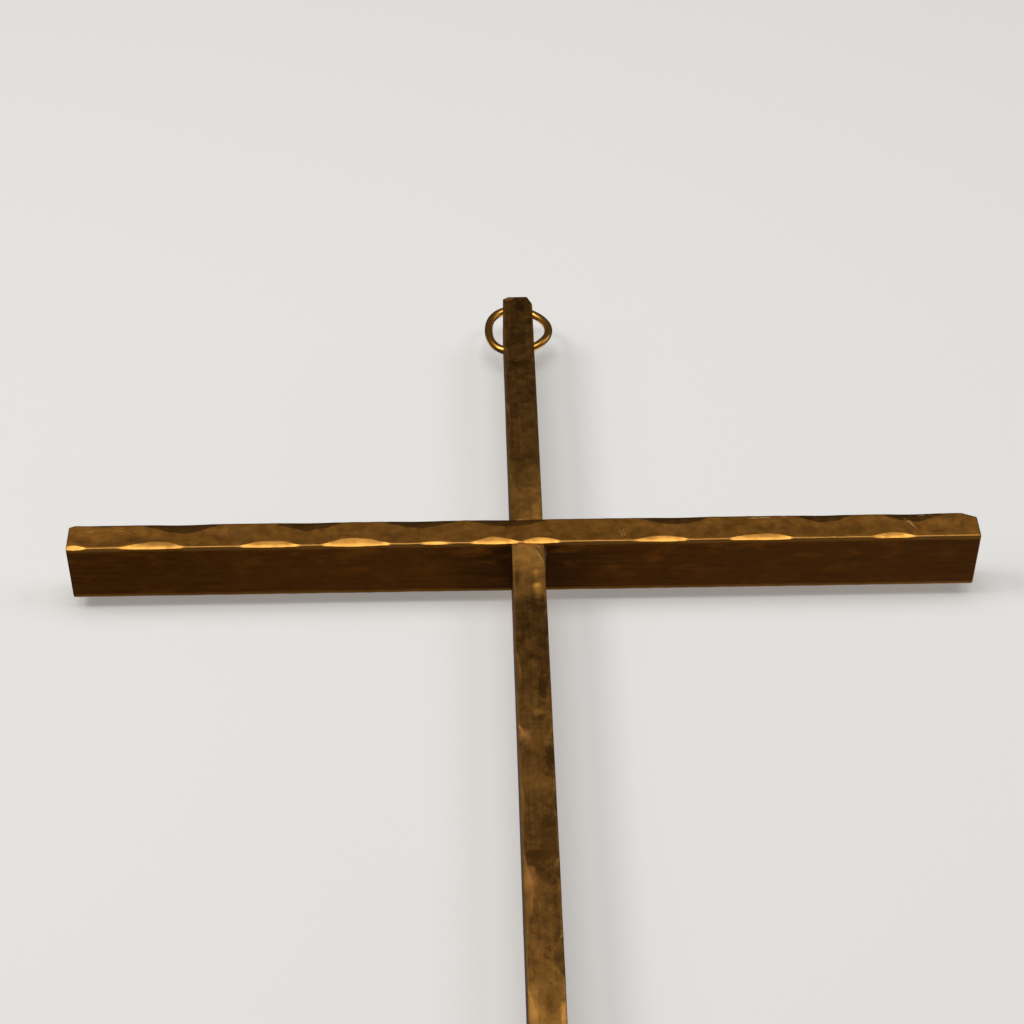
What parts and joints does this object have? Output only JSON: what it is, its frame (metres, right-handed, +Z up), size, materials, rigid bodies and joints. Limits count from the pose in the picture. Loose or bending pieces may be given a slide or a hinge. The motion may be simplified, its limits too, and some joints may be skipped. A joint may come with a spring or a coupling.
{
  "type": "hanging altar cross",
  "caption": "Plain Latin cross of hammered solid brass bar, halved and soldered at the crossing, with a free wire hanging ring through the top.",
  "frame": {"origin": "on the flat back face, at the centre of the crossing of the two bars", "axes": "+X to the viewer's right along the crossbar, +Y out of the back into the wall, +Z up the upright; the front faces -Y"},
  "size_m": [0.2144, 0.016, 0.3314],
  "materials": {
    "bar_brass": "satin, mottled olive-tan patina with brighter hammered arrises",
    "ring_brass": "polished drawn wire",
    "solder": "filed silver solder, toned down by patina"
  },
  "bodies": {
    "cross": {"upright_bar": "bar_brass", "crossbar": "bar_brass", "lap_solder": "solder", "seam_solder_upper_left": "solder", "seam_solder_upper_right": "solder", "seam_solder_lower_left": "solder", "seam_solder_lower_right": "solder"},
    "ring": {"hanging_ring": "ring_brass"}
  },
  "joints": [
    {"name": "ring_swing", "type": "hinge", "parent": "cross", "child": "ring", "pos_m": [0, -0.0038, 0.0814], "axis": [1, 0, 0], "range_deg": [-160, 120]}
  ]
}
